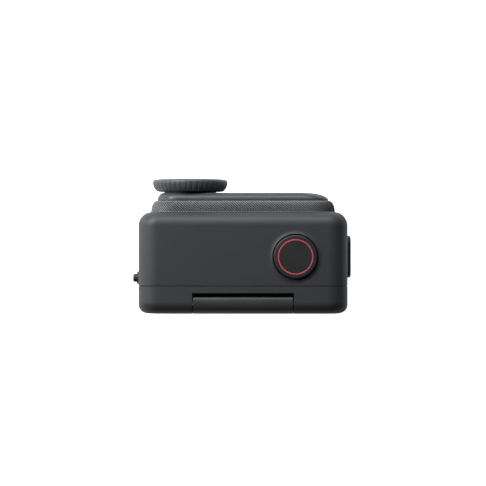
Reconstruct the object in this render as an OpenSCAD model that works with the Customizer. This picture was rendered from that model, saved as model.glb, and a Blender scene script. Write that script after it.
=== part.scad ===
// Action camera with a flip-up touch screen, a twist-off lens guard and a pull-out battery.
// Frame: +Z up, the lens looks along -Y, the screen faces +Y, +X is the lens side.
// The origin is the mouth of the tripod socket, at the middle of the underside.

/* [Body] */
// Width of the housing, without the side button and the battery cap's pad
body_w = 68.9; // [68.9:0.1:70]
// Height of the housing, without the shutter button
body_h = 51.2; // [51.2:0.1:52]
// Depth of the housing, from its front wall to the screen's face
body_d = 33.5; // [33.5:0.1:34]
// Corner radius of the housing seen from the front
corner_r = 6.5; // [6:0.1:7]
// Radius of the housing's front edges
front_edge_r = 4.5; // [4:0.1:5]
// Depth of the rear housing, from the seam to the screen's face
rear_d = 9.1; // [9.1:0.1:9.3]
// Wall thickness of the housings
wall = 1.8; // [1.7:0.1:1.9]

/* [Front] */
// Width of the textured cooling band
band_w = 61; // [60.5:0.1:61.5]
// Depth of the cooling band
band_d = 3.7; // [3.6:0.1:3.8]
// Width of the front plate
plate_w = 56.8; // [56:0.1:57]
// Depth of the front plate
plate_d = 2.7; // [2.6:0.1:2.8]

/* [Lens] */
// Distance of the lens axis from the middle of the housing
lens_x = 17.6; // [17.4:0.1:17.7]
// Height of the lens axis
lens_z = 34; // [33.8:0.1:34.2]
// Radius of the neck that carries the lens guard
neck_r = 8.66; // [8.6:0.01:8.7]
// Largest radius of the lens guard
guard_r = 12.5; // [12.3:0.1:12.6]
// Depth of the lens guard's ring
guard_d = 4.2; // [4.1:0.1:4.3]

/* [Controls] */
// Radius of the shutter button
shutter_r = 7.2; // [7:0.1:7.3]
// Height of the shutter button above the housing
shutter_out = 1; // [0.8:0.1:1.1]
// Travel of the shutter and power buttons
press = 0.5; // [0.4:0.1:0.5]
// How far the power button stands out
power_out = 1.9; // [1.8:0.1:2]

/* [Screen hinge] */
// Radius of the hinge barrel, which is also the housing's top rear edge
hinge_r = 4; // [4:0.1:4.1]
// Width of the notch that the hinge arm turns in
notch_w = 33.3; // [33:0.1:33.5]
// Radius of the hinge pin
pin_r = 1; // [0.9:0.1:1]

/* [Hidden] */
$fn = 64;

// Colours
shell_grey = "#3c3e42";
dark_grey = "#2b2d2e";
black = "#151517";
steel = "silver";
board_green = "#1d4d33";
gold = "#c9a13b";
red = "#d8404c";
clear_blue = "#7f95a8";

// Places on the housing
half_w = body_w / 2;
half_d = body_d / 2;
seam_y = half_d - rear_d;
seam_gap = 0.3;
rear_corner_r = 3;
cavity_y = -half_d + wall;
rear_wall_d = 2.5;
rear_wall_y = seam_y + rear_wall_d;
step = 0.1;

// Front stack
band_y = -half_d;
plate_y = band_y - band_d;
face_y = plate_y - plate_d;
band_h = body_h - (body_w - band_w);
plate_h = band_h - (band_w - plate_w);
guard_y = face_y - 0.4;
guard_front_y = guard_y - guard_d;
light_x = -17.5;
light_z = 37;
mic_x = [-19, -14];
mic_z = 14;

// Screen hinge and the flip screen
axis_y = half_d - hinge_r;
axis_z = body_h - hinge_r;
sweep_gap = 0.3;
socket_r = hinge_r + sweep_gap;
lip_y = half_d - 6.85;
arm_front = 1.6;
arm_back = 2.6;
arm_w = notch_w - 0.6;
screen_y = rear_wall_y + 0.2;
screen_low = 0.7;
screen_top = axis_z - hinge_r - 0.6;
glass_t = 0.75;
glass_w = 62.4;
glass_low = 3.4;
glass_h = 37.4;

// Shutter button
shutter_x = -17.2;
shutter_y = -1.95;
well_r = shutter_r + 0.3;
well_z = body_h - 2.2;
boss_z = well_z - wall;
cap_z = well_z + 0.9;
stem_r = 2;
stem_z = boss_z - wall;

// Power button
power_y = 5.05;
power_z = 37;
power_w = 2.7;
power_h = 11;

// Battery and its cap
pack_y = shutter_y;
cell_end_x = 5.6;
cell_d = 12.5;
cell_low = 8.6;
cell_top = 36;
cap_t = 1.7;
cap_w = 16.8;
cap_low = 6;
cap_top = 38.6;
cap_mid = (cap_low + cap_top) / 2;
pad_out = 1.45;
pad_w = 14.2;
latch_w = 4.9;
latch_h = 9;
latch_out = 0.25;
latch_travel = 2;
bay_wall = 0.8;
bay_gap = 0.4;

// Port door
door_t = 1.6;
door_axis_x = half_w - 0.9;
door_axis_y = -10.6;
door_r = 0.85;
door_edge_y = 1.4;
door_low = 6;
door_top = 26;
window = [-8.8, 0.9, 8, 24];
port_y = -6;
port_z = 15;
card_y = -1.4;

// Base
plate_size = [39.8, 14.2, 1.15];
socket_bore_r = 2.6;
socket_depth = 6;
insert_h = 7;
floor_pad = 3.4;
screw_spots = [[-24, 4.3], [24, 4.3], [-24, 40.3], [24, 40.3]];

// ---- Shape helpers ----

// A rectangle from low to high with a radius for each corner, counted anticlockwise from the low one
module corner_rect(low, high, r) {
    spots = [
        [low.x + r[0], low.y + r[0]], [high.x - r[1], low.y + r[1]],
        [high.x - r[2], high.y - r[2]], [low.x + r[3], high.y - r[3]]
    ];
    polygon([
        [low.x, low.y + r[0]], [low.x + r[0], low.y], [high.x - r[1], low.y], [high.x, low.y + r[1]],
        [high.x, high.y - r[2]], [high.x - r[2], high.y], [low.x + r[3], high.y], [low.x, high.y - r[3]]
    ]);
    for (i = [0:3]) translate(spots[i]) circle(r[i]);
}

// A centred rectangle with equal round corners
module round_rect(w, h, r) {
    corner_rect([-w / 2, -h / 2], [w / 2, h / 2], [r, r, r, r]);
}

// Extrudes an outline drawn in x and z, from y0 to y1
module along_y(y0, y1) {
    translate([0, y1, 0]) rotate([90, 0, 0]) linear_extrude(y1 - y0) children();
}

// Extrudes an outline drawn in y and z, from x0 to x1
module along_x(x0, x1) {
    translate([x0, 0, 0]) rotate([90, 0, 90]) linear_extrude(x1 - x0) children();
}

// A block between two corners
module block(low, high) {
    translate(low) cube(high - low);
}

// A cylinder along Y around (x, z), from y0 to y1
module rod_y(x, z, r, y0, y1) {
    translate([x, y0, z]) rotate([-90, 0, 0]) cylinder(h = y1 - y0, r = r);
}

// A cylinder along X around (y, z), from x0 to x1
module rod_x(y, z, r, x0, x1) {
    translate([x0, y, z]) rotate([0, 90, 0]) cylinder(h = x1 - x0, r = r);
}

// A cylinder along Z around (x, y), from z0 to z1
module rod_z(x, y, r, z0, z1) {
    translate([x, y, z0]) cylinder(h = z1 - z0, r = r);
}

// A block with round outline corners seen from the front and round front edges, from y0 to y1
module soft_front(w, low, high, y0, y1, corner, edge) {
    back = y1 + edge + 1;
    e = [edge, edge, edge, edge];
    intersection() {
        along_y(y0, y1) corner_rect([-w / 2, low], [w / 2, high], [corner, corner, corner, corner]);
        translate([0, 0, low]) linear_extrude(high - low) corner_rect([-w / 2, y0], [w / 2, back], e);
        along_x(-w / 2, w / 2) corner_rect([y0, low], [back, high], e);
    }
}

// The whole housing as one rounded block, taken in by inset on every side
module housing_block(inset) {
    c = corner_r - inset;
    f = front_edge_r - inset;
    h = hinge_r - inset;
    p = rear_corner_r - inset;
    intersection() {
        along_y(-half_d + inset, half_d - inset)
            corner_rect([-half_w + inset, inset], [half_w - inset, body_h - inset], [c, c, c, c]);
        translate([0, 0, inset]) linear_extrude(body_h - 2 * inset)
            corner_rect([-half_w + inset, -half_d + inset], [half_w - inset, half_d - inset], [f, f, p, p]);
        along_x(-half_w + inset, half_w - inset)
            corner_rect([-half_d + inset, inset], [half_d - inset, body_h - inset], [f, p, h, f]);
    }
}

// A pill outline, long in z, around (y, z)
module pill(y, z, w, h) {
    translate([y, z]) {
        square([w, h - w], center = true);
        for (s = [-1, 1]) translate([0, s * (h - w) / 2]) circle(w / 2);
    }
}

// The port door's plate from x0 to x1, grown by gap, square on its hinge side
module door_outline(x0, x1, gap) {
    r = 2 + gap;
    intersection() {
        along_x(x0, x1) corner_rect(
            [door_axis_y - 4, door_low - gap], [door_edge_y + gap, door_top + gap], [r, r, r, r]
        );
        block([x0 - 1, door_axis_y, 0], [x1 + 1, half_d, body_h]);
    }
}

// ---- Housings ----

module screw_boss(x, z) {
    wall_z = z < body_h / 2 ? wall - step : body_h - wall + step;
    rod_y(x, z, 2.2, 2, seam_y - seam_gap / 2);
    block([x - 1.6, 2, min(z, wall_z)], [x + 1.6, seam_y - seam_gap / 2, max(z, wall_z)]);
}

module main_housing_solid() {
    difference() {
        intersection() {
            housing_block(0);
            block([-half_w, -half_d, 0], [half_w, seam_y - seam_gap / 2, body_h]);
        }
        difference() {
            intersection() {
                housing_block(wall);
                block([-half_w, -half_d, 0], [half_w, seam_y, body_h]);
            }
            // Solid parts left inside the cavity
            rod_z(shutter_x, shutter_y, well_r + 1.5, boss_z, body_h);
            block([-22, -12.5, 0], [22, seam_y, floor_pad]);
            rod_z(0, 0, 6.4, 0, insert_h);
            block([30.6, -14, 4.5], [half_w, 2.8, 27.5]);
            for (s = screw_spots) screw_boss(s.x, s.y);
        }
    }
}

module quick_release_pocket(side) {
    translate([side * 15.8, 0, 0]) {
        block([-1.6, -3.6, -step], [1.6, 3.6, 2.6]);
        block([-2.4, -3.6, 1.4], [2.4, 3.6, 2.6]);
    }
}

module main_housing() {
    color(shell_grey) difference() {
        main_housing_solid();
        // Lens
        rod_y(lens_x, lens_z, 8.7, -half_d - step, cavity_y + step);
        // Shutter button
        rod_z(shutter_x, shutter_y, well_r, well_z, body_h + step);
        rod_z(shutter_x, shutter_y, stem_r + 0.9, well_z - 0.8, well_z + step);
        rod_z(shutter_x, shutter_y, stem_r + 0.05, boss_z - step, well_z);
        // Power button
        along_x(half_w - wall - step, half_w + step) pill(power_y, power_z, 3.7, 12);
        // Battery cap
        along_x(-half_w - step, -half_w + wall + step)
            translate([pack_y, cap_mid]) round_rect(cap_w + 0.3, cap_top - cap_low + 0.3, 3.15);
        // Port door, its hinge and its window
        door_outline(half_w - door_t - 0.2, half_w + step, 0.2);
        rod_z(door_axis_x, door_axis_y, door_r + 0.2, door_low - 0.2, door_top + 0.2);
        block([door_axis_x, door_axis_y - door_r - 0.2, door_low - 0.2], [half_w + step, door_axis_y, door_top + 0.2]);
        along_x(half_w - 4, half_w) corner_rect([window[0], window[2]], [window[1], window[3]], [1.5, 1.5, 1.5, 1.5]);
        rod_z(door_axis_x, door_axis_y, 0.5, door_low - 1.2, door_top + 1.2);
        // Base plate, quick-release pockets, magnets, socket and screws
        translate([0, 0, -step]) linear_extrude(plate_size.z + 0.05 + step)
            round_rect(plate_size.x + 0.1, plate_size.y + 0.1, 3.05);
        for (side = [-1, 1]) {
            quick_release_pocket(side);
            rod_z(side * 9.5, 0, 3.1, 0, 2.1);
        }
        rod_z(0, 0, 5.02, 0, insert_h + step);
        for (x = [-12.6, 12.6], y = [-5.2, 5.2]) rod_z(x, y, 0.72, 0, 3.2);
        // Screws from the rear housing
        for (s = screw_spots) rod_y(s.x, s.y, 0.92, 2.5, seam_y);
    }
}

module rear_housing() {
    color(shell_grey) difference() {
        intersection() {
            housing_block(0);
            union() {
                block([-half_w, seam_y + seam_gap / 2, 0], [half_w, rear_wall_y, body_h]);
                block([-half_w, seam_y + seam_gap / 2, axis_z - hinge_r], [half_w, axis_y, body_h]);
                rod_x(axis_y, axis_z, hinge_r, -half_w, half_w);
            }
        }
        // The notch and the round socket that the hinge arm turns in
        rod_x(axis_y, axis_z, socket_r, -notch_w / 2, notch_w / 2);
        block([-notch_w / 2, lip_y, axis_z], [notch_w / 2, half_d + step, body_h + step]);
        block([-notch_w / 2, rear_wall_y, screen_top - 1], [notch_w / 2, half_d + step, axis_z]);
        // Hinge pin and friction washers
        rod_x(axis_y, axis_z, pin_r + 0.02, -21.1, 21.1);
        rod_x(axis_y, axis_z, 2.4, -notch_w / 2 - 1.2, notch_w / 2 + 1.2);
        // Screws
        for (s = screw_spots) {
            rod_y(s.x, s.y, 1, seam_y, rear_wall_y + step);
            rod_y(s.x, s.y, 1.8, rear_wall_y - 1.3, rear_wall_y + step);
        }
    }
}

module housing_gasket() {
    inset = 0.5;
    width = 1.1;
    color(black) along_y(seam_y - seam_gap / 2, seam_y + seam_gap / 2) difference() {
        corner_rect([-half_w + inset, inset], [half_w - inset, body_h - inset], [6, 6, 6, 6]);
        corner_rect(
            [-half_w + inset + width, inset + width],
            [half_w - inset - width, body_h - inset - width], [4.9, 4.9, 4.9, 4.9]
        );
    }
}

module housing_screws() {
    color(steel) for (s = screw_spots) difference() {
        union() {
            rod_y(s.x, s.y, 0.9, 2.8, rear_wall_y - 1.2);
            rod_y(s.x, s.y, 1.7, rear_wall_y - 1.25, rear_wall_y - 0.15);
        }
        translate([s.x, rear_wall_y + step, s.y]) rotate([90, 0, 0]) cylinder(h = 0.9, r = 0.8, $fn = 6);
    }
}

// ---- Front stack ----

module cooling_band() {
    z0 = (body_h - band_h) / 2;
    color(shell_grey) difference() {
        soft_front(band_w, z0, z0 + band_h, plate_y, band_y, 8, 2.4);
        along_y(plate_y - step, band_y + step) corner_rect(
            [-band_w / 2 + 4.1, z0 + 4.1], [band_w / 2 - 4.1, z0 + band_h - 4.1], [5, 5, 5, 5]
        );
    }
}

module front_plate() {
    z0 = (body_h - plate_h) / 2;
    color(shell_grey) difference() {
        soft_front(plate_w, z0, z0 + plate_h, face_y, plate_y, 7, 2.2);
        block([-25.4, plate_y - 1, z0 + 3.2], [25.6, plate_y + step, z0 + plate_h - 3.2]);
        rod_y(lens_x, lens_z, neck_r + 0.04, face_y - step, plate_y + step);
        rod_y(light_x, light_z, 0.75, face_y - step, plate_y + step);
        for (x = mic_x) rod_y(x, mic_z, 0.4, face_y - step, plate_y + step);
        for (i = [0:5]) along_y(face_y - step, plate_y + step)
            translate([11 + 2 * i, 12]) rotate(30) pill(0, 0, 0.9, 5);
    }
}

module status_light() {
    color("white") {
        rod_y(light_x, light_z, 0.7, face_y + 0.1, plate_y);
        rod_y(light_x, light_z, 1.3, plate_y - 0.9, plate_y + 0.6);
    }
}

// ---- Lens ----

module lens_bezel() {
    color(black) difference() {
        union() {
            rod_y(lens_x, lens_z, neck_r, guard_front_y + 1.15, plate_y + 0.9);
            intersection() {
                rod_y(lens_x, lens_z, 10, plate_y - 0.95, plate_y + 0.9);
                block([lens_x - 11, plate_y - 1, lens_z - 11], [25.4, plate_y + 1, 41.8]);
            }
        }
        rod_y(lens_x, lens_z, 7.4, guard_front_y, plate_y + 1.5);
        // Lead-in cone around the front glass
        translate([lens_x, guard_front_y + 1.1, lens_z]) rotate([-90, 0, 0]) cylinder(h = 1.2, r1 = 8.2, r2 = 7.3);
    }
}

module lens_holder() {
    color(black) difference() {
        union() {
            rod_y(lens_x, lens_z, 8.6, plate_y + 1, -3);
            block([lens_x - 8.6, -4.6, lens_z - 8.6], [lens_x + 8.6, -1.6, lens_z + 8.6]);
        }
        rod_y(lens_x, lens_z, 7.3, plate_y, -4);
        block([lens_x - 7.4, -4.1, lens_z - 6.2], [lens_x + 7.4, -1.5, lens_z + 6.2]);
    }
}

module lens_barrel() {
    color(black) difference() {
        union() {
            rod_y(lens_x, lens_z, 7.25, face_y + 0.2, -14);
            rod_y(lens_x, lens_z, 6.6, -14, -5);
        }
        rod_y(lens_x, lens_z, 5.6, face_y, -4);
        rod_y(lens_x, lens_z, 6.45, face_y, face_y + 1.6);
    }
}

module front_lens_element() {
    rim = 6.4;
    dome = 1.9;
    ball_r = (rim * rim + dome * dome) / (2 * dome);
    color(clear_blue) translate([lens_x, face_y + 1.55, lens_z]) rotate([90, 0, 0]) {
        cylinder(h = 1.2, r = rim);
        translate([0, 0, 1.2]) intersection() {
            translate([0, 0, dome - ball_r]) sphere(ball_r);
            cylinder(h = dome, r = rim);
        }
    }
}

module inner_lens_elements() {
    thickness = [1.2, 1.8, 1.4, 2.2];
    start = [-20.4, -17.4, -13.8, -10.4];
    color(clear_blue) for (i = [0:3]) rod_y(lens_x, lens_z, 5.55, start[i], start[i] + thickness[i]);
}

module ir_filter() {
    color(clear_blue) block([lens_x - 5.5, -4.05, lens_z - 4.5], [lens_x + 5.5, -3.65, lens_z + 4.5]);
}

module image_sensor() {
    color(dark_grey) block([lens_x - 7, -3.2, lens_z - 5.6], [lens_x + 7, -1.5, lens_z + 5.6]);
}

module sensor_board() {
    color(board_green) difference() {
        block([lens_x - 9.5, -1.5, lens_z - 9], [lens_x + 9.5, -0.6, lens_z + 9]);
        for (x = [-7.9, 7.9], z = [-7.6, 7.6]) rod_y(lens_x + x, lens_z + z, 0.7, -2, 0);
    }
}

// Turns an outline of radius and depth around the lens axis, with depth counted forward from guard_y
module around_lens() {
    translate([lens_x, guard_y, lens_z]) rotate([90, 0, 0]) rotate_extrude() children();
}

module guard_ring() {
    bore = neck_r + 0.06;
    groove = neck_r + 0.84;
    seat = 10.4;
    color(dark_grey) around_lens() polygon([
        [bore, 0], [guard_r - 2, 0], [guard_r - 1.25, 0.25], [guard_r - 0.6, 1.1], [guard_r - 0.15, 2.1],
        [guard_r, guard_d - 1.2], [guard_r, guard_d - 0.9], [guard_r - 0.25, guard_d - 0.45],
        [guard_r - 0.8, guard_d - 0.1], [seat + 0.5, guard_d],
        [seat, guard_d - 0.1], [seat, guard_d - 0.95],
        [bore, guard_d - 0.95], [bore, 1.9], [groove, 1.9], [groove, 0.8], [bore, 0.8]
    ]);
}

module guard_glass() {
    rim = 10.35;
    color(clear_blue) translate([lens_x, guard_front_y + 0.95, lens_z]) rotate([90, 0, 0]) {
        cylinder(h = 0.9, r = rim);
        translate([0, 0, 0.9]) cylinder(h = 0.45, r1 = rim, r2 = 6);
    }
}

module guard_seal() {
    color(black) around_lens() translate([neck_r + 0.05, 0.85]) square([0.75, 1]);
}

// ---- Boards and inner parts ----

module main_board() {
    color(board_green) difference() {
        block([-30.5, -11.8, 4.5], [7.8, -10.9, 46.5]);
        for (x = [-28.6, 5.6], z = [6.4, 44.6]) rod_y(x, z, 1, -13, -10);
    }
}

module board_chips() {
    color(black) {
        block([-21, -13.1, 18], [-7, -11.8, 32]);
        block([-4.5, -12.9, 20], [3.5, -11.8, 30]);
        block([-18, -12.7, 8.5], [-10, -11.8, 14]);
        for (i = [0:4]) block([-3 + 2 * i, -12.4, 38], [-1.8 + 2 * i, -11.8, 40]);
    }
}

module heat_spreader() {
    color(steel) block([-28, -14.9, 9], [6, -13.15, 41]);
}

module battery_bay() {
    low = cell_low - bay_gap;
    high = cell_top + bay_gap;
    half = cell_d / 2 + bay_gap;
    color(dark_grey) difference() {
        union() {
            block([-31.8, pack_y - half - bay_wall, low - bay_wall], [cell_end_x + 1.6, pack_y + half + bay_wall, high + bay_wall]);
            along_x(-32.55, -31.75) translate([pack_y, cap_mid]) round_rect(cap_w + 0.6, cap_top - cap_low + 0.6, 3.3);
        }
        block([-40, pack_y - half, low], [cell_end_x + 0.8, pack_y + half, high]);
        block([0, -5, 16], [10, 1.2, 24.6]);
    }
}

module battery_contacts() {
    color(gold) {
        block([cell_end_x + 1.62, -4.9, 16.1], [cell_end_x + 2.6, 1.1, 24.5]);
        for (i = [0:3]) block([cell_end_x + 0.2, -4.3 + 1.4 * i, 18], [cell_end_x + 1.62, -3.6 + 1.4 * i, 23]);
    }
}

module usb_port() {
    color(steel) difference() {
        along_x(24.4, 31.2) pill(port_y, port_z, 3.26, 8.94);
        difference() {
            along_x(25, 31.3) pill(port_y, port_z, 2.56, 8.24);
            block([24, port_y - 0.35, port_z - 3.3], [30.6, port_y + 0.35, port_z + 3.3]);
        }
    }
    color(board_green) block([22.5, port_y - 2.65, 6], [30.4, port_y - 1.65, 23.5]);
}

module card_socket() {
    color(steel) difference() {
        block([15.4, card_y - 0.9, 8.6], [29.6, card_y + 0.9, 21.4]);
        block([16, card_y - 0.55, 9.3], [30, card_y + 0.55, 20.7]);
    }
}

module memory_card() {
    color(black) block([16.6, card_y - 0.4, 9.5], [31.4, card_y + 0.4, 20.5]);
}

module speaker() {
    color(dark_grey) difference() {
        along_y(-14.9, -9.6) translate([16.5, 13]) round_rect(13, 15, 2);
        along_y(-15, -13.9) translate([16.5, 13]) round_rect(10, 12, 1.5);
    }
}

module microphones() {
    color(gold) {
        for (x = mic_x) block([x - 1.8, plate_y + 0.25, mic_z - 1.4], [x + 1.8, plate_y + 1.25, mic_z + 1.4]);
        block([3, -6, 48.1], [6.6, -3.3, 49.2]);
        block([26, -2.4, 44], [28.6, 0.4, 45]);
    }
}

module wifi_antenna() {
    color(gold) difference() {
        block([9, -13, 48.6], [25, -7.5, 48.9]);
        block([12, -11.6, 48], [26, -9.6, 49.5]);
    }
}

module rear_board() {
    color(board_green) block([10.4, 5.6, 8], [27, 6.6, 33]);
}

// ---- Shutter button ----

module shutter_cap() {
    top = body_h + shutter_out;
    edge = 0.5;
    color(dark_grey) difference() {
        translate([shutter_x, shutter_y, 0]) rotate_extrude() polygon([
            [0, stem_z], [stem_r - 0.4, stem_z], [stem_r - 0.4, stem_z + 0.9], [stem_r - 0.8, stem_z + 0.9],
            [stem_r - 0.8, stem_z + 1.5], [stem_r, stem_z + 1.5],
            [stem_r, cap_z], [shutter_r, cap_z], [shutter_r, top - edge], [shutter_r - edge, top],
            [0, top]
        ]);
        difference() {
            rod_z(shutter_x, shutter_y, 5.82, top - 0.3, top + step);
            rod_z(shutter_x, shutter_y, 5.4, top - 1, top + 1);
        }
    }
}

module shutter_ring() {
    top = body_h + shutter_out;
    color(red) difference() {
        rod_z(shutter_x, shutter_y, 5.8, top - 0.3, top);
        rod_z(shutter_x, shutter_y, 5.42, top - 1, top + 1);
    }
}

module shutter_clip() {
    color(steel) difference() {
        rod_z(shutter_x, shutter_y, 3.1, stem_z + 1, stem_z + 1.4);
        rod_z(shutter_x, shutter_y, 1.25, stem_z, stem_z + 2);
        block([shutter_x - 1.2, shutter_y, stem_z], [shutter_x + 1.2, shutter_y + 4, stem_z + 2]);
    }
}

module shutter_return_spring() {
    color(black) difference() {
        rod_z(shutter_x, shutter_y, 5, well_z, cap_z);
        rod_z(shutter_x, shutter_y, 3.6, well_z - 1, cap_z + 1);
    }
}

module shutter_seal() {
    color(black) difference() {
        rod_z(shutter_x, shutter_y, stem_r + 0.85, well_z - 0.78, well_z - 0.02);
        rod_z(shutter_x, shutter_y, stem_r + 0.04, well_z - 1, well_z + 1);
    }
}

module shutter_switch() {
    top = stem_z - press - 0.1;
    color(steel) {
        block([shutter_x - 2.3, shutter_y - 2.3, top - 1.4], [shutter_x + 2.3, shutter_y + 2.3, top - 0.3]);
        rod_z(shutter_x, shutter_y, 1.1, top - 0.3, top);
    }
    color(board_green) block([shutter_x - 6, shutter_y - 4, top - 2.2], [shutter_x + 6, shutter_y + 3.6, top - 1.4]);
}

// ---- Power button ----

module power_button_collar() {
    color(dark_grey) difference() {
        union() {
            along_x(half_w, half_w + 0.6) pill(power_y, power_z, 4.1, 12.4);
            along_x(half_w - 2, half_w) pill(power_y, power_z, 3.6, 11.9);
        }
        along_x(half_w - 3, half_w + 1) pill(power_y, power_z, power_w + 0.1, power_h + 0.1);
    }
}

module power_cap() {
    color(dark_grey) {
        along_x(half_w - 2.3, half_w + power_out) pill(power_y, power_z, power_w, power_h);
        along_x(half_w - 2.9, half_w - 2.25) pill(power_y, power_z, 3.4, 11.7);
    }
}

module power_switch() {
    top = half_w - 2.9 - press - 0.1;
    color(steel) {
        block([top - 1.3, power_y - 1.3, power_z - 1.8], [top - 0.3, power_y + 1.3, power_z + 1.8]);
        rod_x(power_y, power_z, 0.8, top - 0.3, top);
    }
    color(board_green) block([top - 2.1, power_y - 1.8, power_z - 6], [top - 1.3, power_y + 1.8, power_z + 6]);
}

// ---- Battery ----

module battery_cell() {
    color(dark_grey) block(
        [-half_w + cap_t, pack_y - cell_d / 2, cell_low], [cell_end_x, pack_y + cell_d / 2, cell_top]
    );
}

module battery_cap() {
    pad_h = 28;
    color(shell_grey) difference() {
        union() {
            along_x(-half_w, -half_w + cap_t)
                translate([pack_y, cap_mid]) round_rect(cap_w, cap_top - cap_low, 3);
            along_x(-half_w - pad_out, -half_w)
                translate([pack_y, cap_mid]) round_rect(pad_w, pad_h, 2.4);
        }
        // Pocket of the latch
        block(
            [-half_w - 2, pack_y - latch_w / 2 - 0.1, cap_mid - latch_h / 2 - 0.1],
            [-half_w + 0.3, pack_y + latch_w / 2 + 0.1, cap_mid + latch_h / 2 + latch_travel + 0.1]
        );
    }
}

module battery_seal() {
    half = cell_d / 2;
    color(black) difference() {
        block([-31.4, pack_y - half - 0.35, cell_low - 0.35], [-30.2, pack_y + half + 0.35, cell_top + 0.35]);
        block([-33, pack_y - half, cell_low], [-29, pack_y + half, cell_top]);
    }
}

module battery_terminals() {
    color(gold) for (i = [0:3])
        block([cell_end_x, -4.4 + 1.4 * i, 18], [cell_end_x + 0.12, -3.5 + 1.4 * i, 23]);
}

module battery_latch() {
    color(dark_grey) difference() {
        block(
            [-half_w - pad_out - latch_out, pack_y - latch_w / 2, cap_mid - latch_h / 2],
            [-half_w + 0.2, pack_y + latch_w / 2, cap_mid + latch_h / 2]
        );
        for (i = [-2:2]) block(
            [-half_w - pad_out - 1, pack_y - 3, cap_mid + 1.4 * i - 0.25],
            [-half_w - pad_out, pack_y + 3, cap_mid + 1.4 * i + 0.25]
        );
    }
}

// ---- Port door ----

module usb_door() {
    color(shell_grey) difference() {
        union() {
            door_outline(half_w - door_t, half_w, 0);
            rod_z(door_axis_x, door_axis_y, door_r, door_low, door_top);
        }
        rod_z(door_axis_x, door_axis_y, 0.5, door_low - 1, door_top + 1);
        // Finger groove
        rod_z(half_w + 1.2, door_edge_y - 1.6, 1.7, 12, 20);
    }
}

module usb_door_seal() {
    color(black) along_x(31.55, half_w - door_t) difference() {
        corner_rect([-8.6, 8.2], [0.55, 23.8], [1.2, 1.2, 1.2, 1.2]);
        corner_rect([-7.8, 9], [-0.25, 23], [0.6, 0.6, 0.6, 0.6]);
    }
}

module usb_door_pin() {
    color(steel) rod_z(door_axis_x, door_axis_y, 0.45, door_low - 1, door_top + 1);
}

// ---- Base ----

module base_plate() {
    color(dark_grey) difference() {
        linear_extrude(plate_size.z) round_rect(plate_size.x, plate_size.y, 3);
        rod_z(0, 0, 4.55, -1, 3);
        for (side = [-1, 1]) {
            rod_z(side * 9.5, 0, 3.05, -1, 3);
            block([side * 15.8 - 1.6, -3.6, -1], [side * 15.8 + 1.6, 3.6, 3]);
        }
        for (x = [-12.6, 12.6], y = [-5.2, 5.2]) {
            rod_z(x, y, 0.75, -1, 3);
            rod_z(x, y, 1.35, -1, 0.75);
        }
    }
}

module tripod_insert() {
    color(gold) difference() {
        union() {
            rod_z(0, 0, 4.5, 0, plate_size.z + 0.1);
            rod_z(0, 0, 5, plate_size.z + 0.1, insert_h);
        }
        rod_z(0, 0, socket_bore_r, -step, socket_depth);
    }
}

module base_magnets() {
    color(steel) for (side = [-1, 1]) rod_z(side * 9.5, 0, 3, 0.15, 2.05);
}

module base_screws() {
    color(steel) for (x = [-12.6, 12.6], y = [-5.2, 5.2]) difference() {
        union() {
            rod_z(x, y, 1.3, 0.1, 0.72);
            rod_z(x, y, 0.68, 0.72, 3.1);
        }
        translate([x, y, 0]) cylinder(h = 0.5, r = 0.6, $fn = 6);
    }
}

// ---- Screen hinge and flip screen ----

module hinge_pin() {
    color(steel) rod_x(axis_y, axis_z, pin_r, -21, 21);
}

module hinge_friction_washers() {
    color(steel) for (side = [-1, 1], i = [0:2]) translate([side * (notch_w / 2 + 0.15 + 0.35 * i), 0, 0])
        difference() {
            rod_x(axis_y, axis_z, 2.3, side > 0 ? 0 : -0.25, side > 0 ? 0.25 : 0);
            rod_x(axis_y, axis_z, pin_r + 0.03, -1, 1);
        }
}

module hinge_arm() {
    front = axis_y - arm_front;
    foot_y = front + 1.8;
    color(dark_grey) difference() {
        union() {
            // Round barrel, cut flat in front
            intersection() {
                rod_x(axis_y, axis_z, hinge_r, -arm_w / 2, arm_w / 2);
                along_x(-arm_w / 2, arm_w / 2) corner_rect(
                    [front, axis_z - hinge_r - 3], [half_d + 3, body_h], [1.3, 1.3, 1.3, 1.3]
                );
            }
            // Neck down to the screen, and its foot inside the shell
            block([-arm_w / 2, front, screen_top - 1.4], [arm_w / 2, axis_y + arm_back, axis_z - 2]);
            block([-14, front, 33], [14, foot_y, screen_top - 1]);
        }
        rod_x(axis_y, axis_z, pin_r + 0.05, -arm_w, arm_w);
        for (x = [-11, 0, 11]) rod_y(x, 35.6, 0.82, front - 1, foot_y + 1);
    }
}

// Outline of the flip screen in x and z
module screen_outline(inset) {
    c = corner_r - 0.7 - inset;
    corner_rect(
        [-half_w + inset, screen_low + inset], [half_w - inset, screen_top - inset],
        [c, c, 1.2, 1.2]
    );
}

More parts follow.
